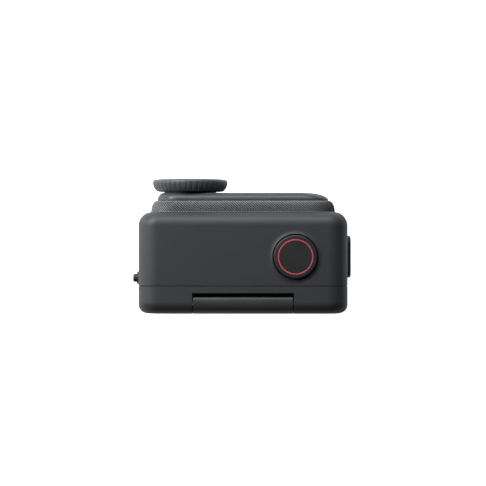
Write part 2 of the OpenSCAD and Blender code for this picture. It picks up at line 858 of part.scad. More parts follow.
module screen_shell() {
    front = axis_y - arm_front;
    color(shell_grey) difference() {
        intersection() {
            along_y(screen_y, half_d) screen_outline(0);
            linear_extrude(body_h) corner_rect([-half_w, screen_y], [half_w, half_d], [0.6, 0.6, 3, 3]);
            along_x(-half_w, half_w)
                corner_rect([screen_y, screen_low], [half_d, screen_top], [0.6, 3, 1.2, 0.6]);
        }
        // Glass, display and driver board
        along_y(half_d - glass_t - 0.05, half_d + step)
            corner_rect([-glass_w / 2 - 0.1, glass_low - 0.1], [glass_w / 2 + 0.1, glass_low + glass_h + 0.1], [4.1, 4.1, 4.1, 4.1]);
        along_y(13.2, half_d) corner_rect([-29, 5.2], [29, 39.4], [2, 2, 2, 2]);
        along_y(screen_y + 1.2, 13.3) corner_rect([-27, 7], [27, 32.6], [2, 2, 2, 2]);
        // Hinge arm
        block([-arm_w / 2 - 0.1, front - 0.1, screen_top - 1.5], [arm_w / 2 + 0.1, axis_y + arm_back + 0.1, screen_top + 1]);
        block([-14.1, front - 0.1, 32.9], [14.1, front + 1.9, screen_top]);
        for (x = [-11, 0, 11]) {
            rod_y(x, 35.6, 0.85, screen_y - 1, front);
            rod_y(x, 35.6, 1.5, screen_y - 1, screen_y + 0.45);
        }
    }
}

module hinge_arm_screws() {
    front = axis_y - arm_front;
    color(steel) for (x = [-11, 0, 11]) difference() {
        union() {
            rod_y(x, 35.6, 1.4, screen_y + 0.03, screen_y + 0.42);
            rod_y(x, 35.6, 0.78, screen_y + 0.42, front + 1.7);
        }
        translate([x, screen_y + 0.3, 35.6]) rotate([90, 0, 0]) cylinder(h = 1, r = 0.6, $fn = 6);
    }
}

module screen_glass() {
    color(black) along_y(half_d - glass_t, half_d - 0.02)
        corner_rect([-glass_w / 2, glass_low], [glass_w / 2, glass_low + glass_h], [4, 4, 4, 4]);
}

module display_panel() {
    color(dark_grey) along_y(14.3, half_d - glass_t) corner_rect([-27, 6], [27, 38.6], [1, 1, 1, 1]);
}

module screen_driver_board() {
    color(board_green) along_y(12.2, 13) corner_rect([-24, 8.5], [24, 31], [1, 1, 1, 1]);
}

// ---- Assembly ----

main_housing();
rear_housing();
housing_gasket();
cooling_band();
front_plate();
lens_bezel();
lens_holder();
lens_barrel();
front_lens_element();
inner_lens_elements();
ir_filter();
image_sensor();
sensor_board();
main_board();
board_chips();
heat_spreader();
battery_bay();
battery_contacts();
usb_port();
card_socket();
memory_card();
speaker();
microphones();
wifi_antenna();
status_light();
shutter_seal();
shutter_switch();
power_button_collar();
power_switch();
base_plate();
tripod_insert();
base_magnets();
base_screws();
housing_screws();
hinge_pin();
hinge_friction_washers();
usb_door_pin();
rear_board();
hinge_arm();
screen_shell();
screen_glass();
display_panel();
screen_driver_board();
hinge_arm_screws();
shutter_cap();
shutter_ring();
shutter_clip();
shutter_return_spring();
power_cap();
battery_cell();
battery_cap();
battery_seal();
battery_terminals();
battery_latch();
usb_door();
usb_door_seal();
guard_seal();
guard_ring();
guard_glass();
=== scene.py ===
import math

import bmesh
import bpy
from mathutils import Matrix, Vector


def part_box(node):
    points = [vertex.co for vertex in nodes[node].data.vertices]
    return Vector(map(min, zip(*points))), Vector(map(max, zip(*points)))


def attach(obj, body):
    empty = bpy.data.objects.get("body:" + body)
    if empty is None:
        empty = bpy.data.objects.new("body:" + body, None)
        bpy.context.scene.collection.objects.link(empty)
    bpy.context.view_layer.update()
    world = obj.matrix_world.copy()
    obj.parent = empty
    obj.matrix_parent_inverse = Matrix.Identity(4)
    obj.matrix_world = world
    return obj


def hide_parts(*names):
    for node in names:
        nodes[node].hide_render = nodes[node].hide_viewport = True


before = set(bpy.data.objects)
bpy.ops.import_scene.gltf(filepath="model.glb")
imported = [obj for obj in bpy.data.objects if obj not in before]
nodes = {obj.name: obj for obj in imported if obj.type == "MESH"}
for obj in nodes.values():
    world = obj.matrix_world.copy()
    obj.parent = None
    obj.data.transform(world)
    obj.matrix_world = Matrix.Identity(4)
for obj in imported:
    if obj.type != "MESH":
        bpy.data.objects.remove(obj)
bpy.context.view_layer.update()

# Shapes are given in millimetres in the CAD's frame: X across, -Y out of the lens, Z up.
MM = 0.001

# ---------------------------------------------------------------- sizes, in millimetres

house_low, house_high = (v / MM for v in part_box("main_housing"))
HALF_W = house_high.x
FRONT_Y = house_low.y
TOP_Z = house_high.z
SEAM_HALF = 0.15
SEAM_Y = house_high.y + SEAM_HALF
REAR_Y = -FRONT_Y
CORNER_R = 6.5
FRONT_R = 4.5
REAR_SIDE_R = 3.0
HINGE_R = 4.0
WALL = 1.8
REAR_WALL_Y = SEAM_Y + 2.5

band_low, band_high = (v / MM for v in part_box("cooling_band"))
plate_low, plate_high = (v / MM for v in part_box("front_plate"))
PLATE_Y = band_low.y
FACE_Y = plate_low.y

ring_low, ring_high = (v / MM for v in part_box("guard_ring"))
LENS = ((ring_low.x + ring_high.x) / 2, (ring_low.z + ring_high.z) / 2)
GUARD_Y, GUARD_FRONT = ring_high.y, ring_low.y
NECK_R = 8.66

cap_low, cap_high = (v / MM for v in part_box("shutter_cap"))
SHUTTER = ((cap_low.x + cap_high.x) / 2, (cap_low.y + cap_high.y) / 2)
SHUTTER_R = (cap_high.x - cap_low.x) / 2
SHUTTER_TOP = cap_high.z
WELL_Z = TOP_Z - 2.2

pin_low, pin_high = (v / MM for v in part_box("hinge_pin"))
AXIS_Y = (pin_low.y + pin_high.y) / 2
AXIS_Z = (pin_low.z + pin_high.z) / 2
HINGE = (AXIS_Y, AXIS_Z)
NOTCH_HALF = 16.65

STATUS_LIGHT = (-17.5, 37)
MIC_X, MIC_Z = (-14, -19), 14
POWER = (5.05, 37.0)
PACK_Y = SHUTTER[1]
CAP_LOW, CAP_HIGH = 6.0, 38.6
DOOR_Y, DOOR_EDGE = -10.6, 1.4
DOOR_LOW, DOOR_TOP = 6.0, 26.0
BASE = (0, 0)
CLAW_X, MAGNET_X = 15.8, 9.5

# ---------------------------------------------------------------- mesh helpers


def make_object(name, verts, faces):
    """A linked mesh object from points in millimetres, with its faces turned outwards."""
    mesh = bpy.data.meshes.new(name)
    mesh.from_pydata([(x * MM, y * MM, z * MM) for x, y, z in verts], [], faces)
    mesh.validate()
    bm = bmesh.new()
    bm.from_mesh(mesh)
    bmesh.ops.recalc_face_normals(bm, faces=bm.faces)
    bm.to_mesh(mesh)
    bm.free()
    obj = bpy.data.objects.new(name, mesh)
    bpy.context.scene.collection.objects.link(obj)
    return obj


def outline(low, high, radii, arc=12, edge=8):
    """A rectangle with round corners as (u, v) points, anticlockwise from its low corner."""
    if not isinstance(arc, (list, tuple)):
        arc = [arc] * 4
    if not isinstance(edge, (list, tuple)):
        edge = [edge] * 4
    spots = (
        (low[0] + radii[0], low[1] + radii[0], 180),
        (high[0] - radii[1], low[1] + radii[1], 270),
        (high[0] - radii[2], high[1] - radii[2], 0),
        (low[0] + radii[3], high[1] - radii[3], 90),
    )
    arcs = []
    for (u, v, start), r, count in zip(spots, radii, arc):
        angles = [math.radians(start + 90 * i / count) for i in range(count + 1)]
        arcs.append([(u + r * math.cos(a), v + r * math.sin(a)) for a in angles])
    points = []
    for i, part in enumerate(arcs):
        points += part
        a, b, count = part[-1], arcs[(i + 1) % 4][0], edge[i]
        points += [
            (a[0] + (b[0] - a[0]) * j / count, a[1] + (b[1] - a[1]) * j / count)
            for j in range(1, count)
        ]
    return points


def place(points, axis, depth):
    """Outline points set at a depth along X, Y or Z."""
    if axis == "x":
        return [(depth, u, v) for u, v in points]
    if axis == "y":
        return [(u, depth, v) for u, v in points]
    return [(u, v, depth) for u, v in points]


def loft(name, rings, closed=False):
    """A skin through rings of equal length; its ends are capped unless it closes on itself."""
    n = len(rings[0])
    verts = [p for ring in rings for p in ring]
    faces = []
    last = len(rings) if closed else len(rings) - 1
    for i in range(last):
        a, b = i * n, (i + 1) % len(rings) * n
        faces += [(a + j, a + (j + 1) % n, b + (j + 1) % n, b + j) for j in range(n)]
    if not closed:
        faces.append(tuple(range(n)))
        faces.append(tuple(range(len(verts) - n, len(verts))))
    return make_object(name, verts, faces)


def quarter(radius_u, radius_d, steps):
    """(inset, depth) pairs round a quarter ellipse, from the side to the face."""
    pairs = []
    for i in range(steps + 1):
        a = math.pi / 2 * i / steps
        pairs.append((radius_u * (1 - math.cos(a)), radius_d * math.sin(a)))
    return pairs


def plate(name, axis, d0, d1, low, high, radii, ends, steps, arc=10, edge=4):
    """A plate with round outline corners, and its edges rounded by ends at d0 and d1."""
    stations = []
    for inset, depth in reversed(quarter(ends[0], ends[0], steps)):
        stations.append((d0 + ends[0] - depth, inset))
    for inset, depth in quarter(ends[1], ends[1], steps):
        stations.append((d1 - ends[1] + depth, inset))
    rings = []
    for depth, inset in stations:
        r = [max(x - inset, 0.02) for x in radii]
        points = outline(
            (low[0] + inset, low[1] + inset), (high[0] - inset, high[1] - inset), r, arc, edge
        )
        rings.append(place(points, axis, depth))
    return loft(name, rings)


def flare(name, axis, inner, outer, low, high, radii, rim, grow):
    """A cutter for an opening whose mouth at outer has a chamfer of rim by grow."""
    sign = 1 if outer > inner else -1
    past = 3
    stations = [(inner, 0), (outer - sign * rim, 0), (outer, grow)]
    stations.append((outer + sign * past, grow + past * grow / rim))
    rings = []
    for depth, out in stations:
        corners = (low[0] - out, low[1] - out), (high[0] + out, high[1] + out)
        rings.append(place(outline(*corners, [x + out for x in radii], 12, 2), axis, depth))
    return loft(name, rings)


def lathe(name, profile, centre, axis, count=128, shape=None, closed=True):
    """Turns (radius, depth) points about an axis. shape(angle, index) adds to a radius."""
    rings = []
    for i, (radius, depth) in enumerate(profile):
        ring = []
        for j in range(count):
            a = 2 * math.pi * j / count
            r = radius + (shape(a, i) if shape else 0)
            u, v = r * math.cos(a), r * math.sin(a)
            if axis == "z":
                ring.append((centre[0] + u, centre[1] + v, depth))
            elif axis == "y":
                ring.append((centre[0] + u, depth, centre[1] + v))
            else:
                ring.append((depth, centre[0] + u, centre[1] + v))
        rings.append(ring)
    return loft(name, rings, closed)


def bore(name, profile, centre, axis, count=48):
    """A turned cutter, solid to its axis."""
    return lathe(name, profile, centre, axis, count, closed=False)


def around(spot, half_u, half_v):
    """The low and high corners of a rectangle about a spot."""
    return (spot[0] - half_u, spot[1] - half_v), (spot[0] + half_u, spot[1] + half_v)


def arc_points(centre, radius, start, end, steps):
    """Points on an arc from a start to an end angle in degrees."""
    angles = [math.radians(start + (end - start) * i / steps) for i in range(steps + 1)]
    return [(centre[0] + radius * math.cos(a), centre[1] + radius * math.sin(a)) for a in angles]


def round_path(points, radius, steps=3):
    """A closed profile with each corner replaced by a small curve."""
    out = []
    n = len(points)
    for i in range(n):
        p, q, r = Vector(points[i - 1]), Vector(points[i]), Vector(points[(i + 1) % n])
        a, b = p - q, r - q
        trim = min(radius, a.length * 0.45, b.length * 0.45)
        start, end = q + a.normalized() * trim, q + b.normalized() * trim
        for k in range(steps + 1):
            t = k / steps
            out.append(tuple((1 - t) ** 2 * start + 2 * t * (1 - t) * q + t * t * end))
    return out


def extrude_x(name, profile, x0, x1, bevel=0.2):
    """A (y, z) profile extruded along X, with its two ends pulled in by a small round."""
    rings = []
    stations = [(x0 + bevel - d, i) for i, d in reversed(quarter(bevel, bevel, 3))]
    stations += [(x1 - bevel + d, i) for i, d in quarter(bevel, bevel, 3)]
    n = len(profile)
    normals = []
    for i in range(n):
        along = Vector(profile[(i + 1) % n]) - Vector(profile[i - 1])
        normals.append(Vector((along.y, -along.x)).normalized())
    area = sum(
        profile[i - 1][0] * profile[i][1] - profile[i][0] * profile[i - 1][1] for i in range(n)
    )
    turn = 1 if area > 0 else -1
    for x, inset in stations:
        pull = turn * inset
        rings.append([(x, p[0] - pull * m.x, p[1] - pull * m.y) for p, m in zip(profile, normals)])
    return loft(name, rings)


def settle(obj):
    """Applies the object's modifiers to its mesh."""
    graph = bpy.context.evaluated_depsgraph_get()
    mesh = bpy.data.meshes.new_from_object(obj.evaluated_get(graph))
    obj.modifiers.clear()
    old = obj.data
    obj.data = mesh
    bpy.data.meshes.remove(old)


def boolean(obj, others, operation):
    """Combines an object with each of the others, which are used up."""
    for other in others:
        mod = obj.modifiers.new("solid", "BOOLEAN")
        mod.operation = operation
        mod.solver = "EXACT"
        mod.object = other
        bpy.context.view_layer.update()
        settle(obj)
        mesh = other.data
        bpy.data.objects.remove(other)
        bpy.data.meshes.remove(mesh)
    return obj


def cut(obj, *others):
    """Takes the others away from an object."""
    return boolean(obj, others, "DIFFERENCE")


def add(obj, *others):
    """Joins the others to an object."""
    return boolean(obj, others, "UNION")


def keep(obj, *others):
    """Leaves only what an object shares with each of the others."""
    return boolean(obj, others, "INTERSECT")


def piece(obj, body, mat, stands_for, angle=32):
    """Gives a finished mesh its shading and material, puts it under its body, and hides the CAD nodes
    that it stands for.
    """
    mesh = obj.data
    mesh.materials.clear()
    mesh.materials.append(mat)
    bm = bmesh.new()
    bm.from_mesh(mesh)
    bmesh.ops.remove_doubles(bm, verts=bm.verts, dist=2e-7)
    bmesh.ops.dissolve_degenerate(bm, edges=bm.edges, dist=2e-7)
    bmesh.ops.recalc_face_normals(bm, faces=bm.faces)
    for face in bm.faces:
        face.material_index = 0
        face.smooth = True
    bm.to_mesh(mesh)
    bm.free()
    mesh.set_sharp_from_angle(angle=math.radians(angle))
    weighted = obj.modifiers.new("weighted", "WEIGHTED_NORMAL")
    weighted.keep_sharp = True
    weighted.weight = 60
    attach(obj, body)
    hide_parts(*stands_for)


# ---------------------------------------------------------------- materials


def maths(tree, operation, *values):
    """A maths node on numbers or other nodes' outputs."""
    node = tree.nodes.new("ShaderNodeMath")
    node.operation = operation
    for socket, value in zip(node.inputs, values):
        if isinstance(value, (int, float)):
            socket.default_value = value
        else:
            tree.links.new(value, socket)
    return node.outputs["Value"]


def remap(tree, value, low, high, to_low=0.0, to_high=1.0):
    """A value stretched from one range to another, and held at its ends."""
    node = tree.nodes.new("ShaderNodeMapRange")
    ranges = {"From Min": low, "From Max": high, "To Min": to_low, "To Max": to_high}
    for name, number in ranges.items():
        node.inputs[name].default_value = number
    tree.links.new(value, node.inputs["Value"])
    return node.outputs["Result"]


def blend(tree, factor, first, second):
    """A mix of two colours, each a plain colour or another node's output."""
    node = tree.nodes.new("ShaderNodeMix")
    node.data_type = "RGBA"
    tree.links.new(factor, node.inputs["Factor"])
    for name, colour in (("A", first), ("B", second)):
        if isinstance(colour, (tuple, list)):
            node.inputs[name].default_value = (*colour, 1)
        else:
            tree.links.new(colour, node.inputs[name])
    return node.outputs["Result"]


def noise(tree, where, size, detail, rough=0.5):
    """Cloudy noise with features of a size in millimetres."""
    node = tree.nodes.new("ShaderNodeTexNoise")
    node.inputs["Scale"].default_value = 1000 / size
    node.inputs["Detail"].default_value = detail
    node.inputs["Roughness"].default_value = rough
    tree.links.new(where, node.inputs["Vector"])
    return node.outputs["Fac"]


def blank(name, spec, coat, coat_rough):
    """A new material, with its tree, its shader and the object's own coordinates."""
    mat = bpy.data.materials.new(name)
    mat.use_nodes = True
    shader = mat.node_tree.nodes["Principled BSDF"]
    shader.inputs["Specular IOR Level"].default_value = spec
    shader.inputs["Coat Weight"].default_value = coat
    shader.inputs["Coat Roughness"].default_value = coat_rough
    where = mat.node_tree.nodes.new("ShaderNodeTexCoord").outputs["Object"]
    return mat, mat.node_tree, shader, where


def surface(
    name, colour, rough, grain, bump, height, tone, gloss_vary, wear=0.0, metal=0.0, spec=0.5,
    coat=0.0, stretch=(1, 1, 1), sheen=0.0, pattern=None, cavity=0.0,
):
    """A procedural material: grain as bump, broad tone and gloss changes, pale worn edges, and painted
    shade in recesses where cavity is set.
    """
    mat, tree, shader, where = blank(name, spec, coat, 0.08)
    link = tree.links.new
    shader.inputs["Metallic"].default_value = metal
    shader.inputs["Sheen Weight"].default_value = sheen

    scaled = tree.nodes.new("ShaderNodeMapping")
    scaled.inputs["Scale"].default_value = stretch
    link(where, scaled.inputs["Vector"])
    fine = noise(tree, scaled.outputs["Vector"], grain, 3, 0.6)
    broad = noise(tree, where, 7.0, 5)
    shiny, dull = max(rough - gloss_vary, 0.02), min(rough + gloss_vary, 1.0)
    link(remap(tree, broad, 0.3, 0.7, shiny, dull), shader.inputs["Roughness"])

    darker = [c * (1 - tone) for c in colour]
    paler = [min(c * (1 + tone), 1) for c in colour]
    cloud = maths(tree, "MULTIPLY_ADD", fine, 0.45, maths(tree, "MULTIPLY", broad, 0.55))
    colour_out, height_out = blend(tree, cloud, darker, paler), fine
    if pattern:
        colour_out, height_out = pattern(tree, where, colour_out, height_out)
    # Painted shade: pointiness darkens the colour towards near black in recesses and creases, as far
    # as cavity says.
    if cavity:
        shape = tree.nodes.new("ShaderNodeNewGeometry").outputs["Pointiness"]
        open_to_light = remap(tree, shape, 0.40, 0.50, 1 - cavity, 1.0)
        colour_out = blend(tree, open_to_light, PAINTED_SHADE_BLACK, colour_out)
    if wear:
        shape = tree.nodes.new("ShaderNodeNewGeometry").outputs["Pointiness"]
        rubbed = maths(tree, "MULTIPLY", remap(tree, shape, 0.505, 0.60), broad)
        colour_out = blend(tree, rubbed, colour_out, [min(c + wear, 1) for c in colour])
    link(colour_out, shader.inputs["Base Color"])

    relief = tree.nodes.new("ShaderNodeBump")
    relief.inputs["Strength"].default_value = bump
    relief.inputs["Distance"].default_value = height * MM
    link(height_out, relief.inputs["Height"])
    link(relief.outputs["Normal"], shader.inputs["Normal"])
    return mat


def traces(tree, where, colour, _height):
    """Copper traces and pads under solder mask."""
    cells = tree.nodes.new("ShaderNodeTexVoronoi")
    cells.distance = "MANHATTAN"
    cells.feature = "F1"
    cells.inputs["Scale"].default_value = 1000 / 2.2
    tree.links.new(where, cells.inputs["Vector"])
    lines = maths(tree, "PINGPONG", cells.outputs["Distance"], 0.12)
    mask = remap(tree, lines, 0.05, 0.07)
    return blend(tree, mask, colour, (0.03, 0.16, 0.07)), mask


def turning_marks(tree, where, colour, _height):
    """Fine turning marks about the lens axis."""
    moved = tree.nodes.new("ShaderNodeVectorMath")
    moved.operation = "SUBTRACT"
    moved.inputs[1].default_value = (LENS[0] * MM, 0, LENS[1] * MM)
    tree.links.new(where, moved.inputs[0])
    wave = tree.nodes.new("ShaderNodeTexWave")
    wave.wave_type = "RINGS"
    wave.rings_direction = "Y"
    wave.inputs["Scale"].default_value = 1000 / 0.9
    wave.inputs["Distortion"].default_value = 0.4
    tree.links.new(moved.outputs["Vector"], wave.inputs["Vector"])
    return colour, wave.outputs["Fac"]


def painted_groove_shade(tree, _where, colour, height):
    """Painted shade: the ribs' colour is darkened towards near black down in each groove, as much as
    the mesh's own attribute says.
    """
    groove_shade = tree.nodes.new("ShaderNodeAttribute")
    groove_shade.attribute_name = "groove_shade"
    return blend(tree, groove_shade.outputs["Fac"], colour, PAINTED_SHADE_BLACK), height


def display_area(tree, where, colour, height):
    """The switched-off display, a little greyer than the black border round it."""
    parts = tree.nodes.new("ShaderNodeSeparateXYZ")
    tree.links.new(where, parts.inputs["Vector"])
    inside = []
    for axis, centre, half in (("X", 0.0, 27.0), ("Z", 22.3, 16.3)):
        off = maths(tree, "ABSOLUTE", maths(tree, "SUBTRACT", parts.outputs[axis], centre * MM))
        inside.append(remap(tree, off, (half + 0.05) * MM, (half - 0.05) * MM))
    return blend(tree, maths(tree, "MULTIPLY", *inside), colour, (0.013, 0.014, 0.016)), height


def glass(name, tint, rough, alpha, coat, spec):
    """Coated glass: its colour grows brighter towards the rim where it is seen edge-on, a painted
    coating reflection, and faint smears dull it in places.
    """
    mat, tree, shader, where = blank(name, spec, coat, 0.02)
    shader.inputs["Alpha"].default_value = alpha
    smear = noise(tree, where, 6.0, 6)
    tree.links.new(remap(tree, smear, 0.35, 0.75, rough, rough + 0.07), shader.inputs["Roughness"])
    # Painted reflection: the base colour rises from a dim centre to the full tint where the glass is
    # seen edge-on.
    facing = tree.nodes.new("ShaderNodeLayerWeight")
    facing.inputs["Blend"].default_value = 0.35
    colours = tree.nodes.new("ShaderNodeValToRGB")
    colours.color_ramp.elements[0].color = (*[c * 0.35 for c in tint], 1)
    colours.color_ramp.elements[1].color = (*tint, 1)
    tree.links.new(facing.outputs["Facing"], colours.inputs["Fac"])
    tree.links.new(colours.outputs["Color"], shader.inputs["Base Color"])
    return mat


GRAPHITE = (0.034, 0.0365, 0.041)
CHARCOAL = (0.020, 0.0225, 0.023)
# Near black that paints shade down in the band's rib gaps and in the guard ring's flute recesses.
PAINTED_SHADE_BLACK = (0.004, 0.004, 0.005)

# After the colour: roughness, grain size, bump, relief in mm, tone change, gloss change.
M = {
    "housing": surface("soft_touch_plastic", GRAPHITE, 0.50, 0.20, 0.30, 0.012, 0.06, 0.02, spec=0.42),
    # The band's colour has painted shade down in each groove, from the mesh's groove attribute.
    "ribbed": surface(
        "ribbed_band_plastic", (0.150, 0.155, 0.166), 0.44, 0.18, 0.25, 0.010, 0.12, 0.06,
        spec=0.45, pattern=painted_groove_shade,
    ),
    "plate": surface(
        "front_plate_plastic", (0.044, 0.047, 0.053), 0.42, 0.16, 0.22, 0.008, 0.08, 0.05, spec=0.45
    ),
    "arm": surface(
        "hinge_arm_coating", (0.036, 0.038, 0.037), 0.40, 0.14, 0.20, 0.008, 0.10, 0.05,
        wear=0.06, spec=0.45,
    ),
    # The guard ring has painted shade in its flute recesses, through cavity.
    "knurl": surface(
        "guard_ring_coating", (0.059, 0.061, 0.066), 0.42, 0.15, 0.20, 0.008, 0.12, 0.06,
        wear=0.02, cavity=0.45,
    ),
    "button": surface("button_plastic", CHARCOAL, 0.46, 0.15, 0.25, 0.008, 0.10, 0.05, spec=0.42),
    "red": surface(
        "red_ring_paint", (0.64, 0.075, 0.115), 0.38, 0.12, 0.15, 0.006, 0.08, 0.05, spec=0.4
    ),
    "black": surface(
        "gloss_black_plastic", (0.008, 0.008, 0.009), 0.16, 0.30, 0.06, 0.004, 0.2, 0.04, coat=0.3
    ),
    "lens_black": surface(
        "turned_black_plastic", (0.006, 0.006, 0.007), 0.42, 0.30, 0.15, 0.006, 0.2, 0.05,
        spec=0.35, pattern=turning_marks,
    ),
    "rubber": surface(
        "black_rubber", (0.013, 0.013, 0.014), 0.72, 0.30, 0.45, 0.02, 0.25, 0.08,
        spec=0.3, sheen=0.1,
    ),
    "steel": surface(
        "brushed_steel", (0.50, 0.50, 0.51), 0.30, 0.12, 0.20, 0.006, 0.10, 0.08,
        metal=1.0, stretch=(1, 1, 14),
    ),
    "aluminium": surface(
        "sheet_aluminium", (0.58, 0.59, 0.60), 0.36, 0.15, 0.20, 0.006, 0.08, 0.08,
        metal=1.0, stretch=(12, 1, 1),
    ),
    "brass": surface(
        "gold_contacts", (0.66, 0.46, 0.17), 0.26, 0.15, 0.15, 0.005, 0.10, 0.07, metal=1.0
    ),
    "board": surface(
        "solder_mask", (0.012, 0.080, 0.036), 0.34, 0.30, 0.5, 0.03, 0.15, 0.06, pattern=traces
    ),
    "chip": surface("chip_moulding", (0.016, 0.016, 0.017), 0.55, 0.10, 0.35, 0.010, 0.15, 0.05),
    "window": surface("light_window", (0.30, 0.31, 0.32), 0.30, 0.25, 0.10, 0.004, 0.04, 0.04),
    "wrap": surface(
        "battery_wrap", (0.030, 0.031, 0.033), 0.44, 0.35, 0.30, 0.015, 0.15, 0.08, wear=0.05
    ),
    "screen": surface(
        "screen_glass_black", (0.006, 0.0065, 0.0075), 0.07, 2.5, 0.03, 0.004, 0.25, 0.03,
        spec=0.4, coat=0.2, pattern=display_area,
    ),
    "guard_glass": glass(
        "guard_glass_coating", (0.02, 0.022, 0.03), 0.03, alpha=0.05, coat=0.0, spec=0.25
    ),
    "lens_glass": glass(
        "lens_glass_coating", (0.012, 0.008, 0.030), 0.02, alpha=1.0, coat=0.25, spec=0.45
    ),
}

# ---------------------------------------------------------------- housings


def housing_rings(inset, y_seam, y_front, front_r, steps):
    """Rings of the housing from the seam to the front, rounded at its front edge."""
    half, top, low = HALF_W - inset, TOP_Z - inset, inset
    corner = CORNER_R - inset
    stations = [(y_seam, 0.0)]
    if not inset:
        stations = [(y_seam + 0.06, 0.09), (y_seam + 0.02, 0.03), (y_seam - 0.07, 0.0)]
    span = y_front + front_r
    start = stations[-1][0]
    stations += [(start + (span - start) * i / 6, 0.0) for i in range(1, 6)]
    for pull, depth in quarter(front_r, front_r, steps):
        stations.append((span - depth, pull))
    rings_out = []
    for y, pull in stations:
        r = [max(corner - pull, 0.5)] * 4
        points = outline((-half + pull, low + pull), (half - pull, top - pull), r, 16, 10)
        rings_out.append(place(points, "y", y))
    return rings_out


shell = loft("housing_front", housing_rings(0, SEAM_Y - SEAM_HALF, FRONT_Y, FRONT_R, 16))
cavity = loft("cavity", housing_rings(WALL, SEAM_Y + 1, FRONT_Y + WALL, FRONT_R - WALL, 6))
cut(
    cavity,
    plate("port_block", "x", 30.6, HALF_W + 1, (-14, 4.5), (2.8, 27.5), [0.5] * 4, (0.1, 0.1), 2),
    bore("boss", [(9.0, 47.2), (9.0, TOP_Z + 1)], SHUTTER, "z", 64),
    plate("floor_pad", "z", -1, 3.4, (-22, -12.5), (22, SEAM_Y + 2), [0.5] * 4, (0.1, 0.1), 2),
)
cut(shell, cavity)

# A low lip round the shutter button, steep by the well and running out flat.
lip = [(0.1, -0.3), (0.1, 0.36), (0.40, 0.34), (0.50, 0.31), (0.65, 0.24), (0.85, 0.16)]
lip += [(1.1, 0.09), (1.4, 0.035), (1.7, 0.009), (1.95, -0.004), (1.95, -0.3)]
add(shell, lathe("well_lip", [(SHUTTER_R + r, TOP_Z + z) for r, z in lip], SHUTTER, "z", 160))
mouth = [(0.26, 0.12), (0.28, 0.22), (0.33, 0.29), (0.42, 0.34), (1.0, 0.6)]
well = [(SHUTTER_R + 0.26, WELL_Z)] + [(SHUTTER_R + r, TOP_Z + z) for r, z in mouth]
cut(
    shell,
    bore("well", well, SHUTTER, "z", 160),
    bore("stem_hole", [(2.06, 40), (2.06, 47.0), (2.9, 48.2), (2.9, 50)], SHUTTER, "z"),
    bore("lens_hole", [(8.7, FRONT_Y - 1), (8.7, FRONT_Y + 3)], LENS, "y", 96),
    flare("power_slot", "x", HALF_W - 3, HALF_W, *around(POWER, 1.85, 6), [1.84] * 4, 0.2, 0.15),
    flare(
        "battery_slot", "x", -HALF_W + 3, -HALF_W, (PACK_Y - 8.55, CAP_LOW - 0.15),
        (PACK_Y + 8.55, CAP_HIGH + 0.15), [3.15] * 4, 0.25, 0.2,
    ),
    flare(
        "door_slot", "x", HALF_W - 1.8, HALF_W, (DOOR_Y - 1.1, DOOR_LOW - 0.2),
        (DOOR_EDGE + 0.2, DOOR_TOP + 0.2), [0.3, 2.2, 2.2, 0.3], 0.2, 0.15,
    ),
    plate("door_window", "x", HALF_W - 5, HALF_W, (-8.8, 8), (0.9, 24), [1.5] * 4, (0.1, 0.1), 2),
    flare("base_recess", "z", 1.2, 0, *around(BASE, 19.95, 7.15), [3.05] * 4, 0.2, 0.15),
    bore("socket_hole", [(5.02, 1), (5.02, 7.5)], BASE, "z"),
)
for side in (-1, 1):
    claw = around((side * CLAW_X, 0), 2.4, 3.6)
    cut(
        shell,
        plate("claw_slot", "z", 0.5, 2.6, *claw, [0.4] * 4, (0.1, 0.1), 2),
        bore("magnet_hole", [(3.1, 0.5), (3.1, 2.1)], (side * MAGNET_X, 0), "z"),
    )
piece(shell, "camera_body", M["housing"], ["main_housing"])


def rear_rings():
    """Rings of the rear housing from the seam to the back, rounded by the hinge radius on top."""
    y0 = SEAM_Y + SEAM_HALF
    stations = [(y0 - 0.06, 0.09, 0.09, 0.09), (y0 - 0.02, 0.03, 0.03, 0.03), (y0 + 0.07, 0, 0, 0)]
    stations.append((REAR_Y - HINGE_R, 0, 0, 0))
    steps = 20
    for i in range(1, steps + 1):
        a = math.pi / 2 * i / steps
        y = REAR_Y - HINGE_R + HINGE_R * math.sin(a)
        top = HINGE_R * (1 - math.cos(a))
        past = max(y - (REAR_Y - REAR_SIDE_R), 0) / REAR_SIDE_R
        side = REAR_SIDE_R * (1 - math.sqrt(max(1 - past * past, 0)))
        stations.append((y, side, top, side))
    rings_out = []
    for y, side, top, low in stations:
        r = CORNER_R - side
        points = outline((-HALF_W + side, low), (HALF_W - side, TOP_Z - top), [r] * 4, 16, 10)
        rings_out.append(place(points, "y", y))
    return rings_out


rear = loft("housing_rear", rear_rings())

# The side view of the rear housing, with the round seat that the hinge's barrel turns in
profile = [(SEAM_Y - 1, -1), (REAR_WALL_Y, -1), (REAR_WALL_Y, AXIS_Z - HINGE_R - 0.5)]
profile += [(REAR_WALL_Y + 0.15, AXIS_Z - HINGE_R - 0.1), (REAR_WALL_Y + 0.5, AXIS_Z - HINGE_R)]
profile += arc_points(HINGE, HINGE_R + 0.003, -90, 0, 24)
profile += [(REAR_Y + 1.5, AXIS_Z), (REAR_Y + 1.5, TOP_Z + 1), (SEAM_Y - 1, TOP_Z + 1)]
keep(rear, extrude_x("rear_profile", profile, -HALF_W - 2, HALF_W + 2, 0.01))

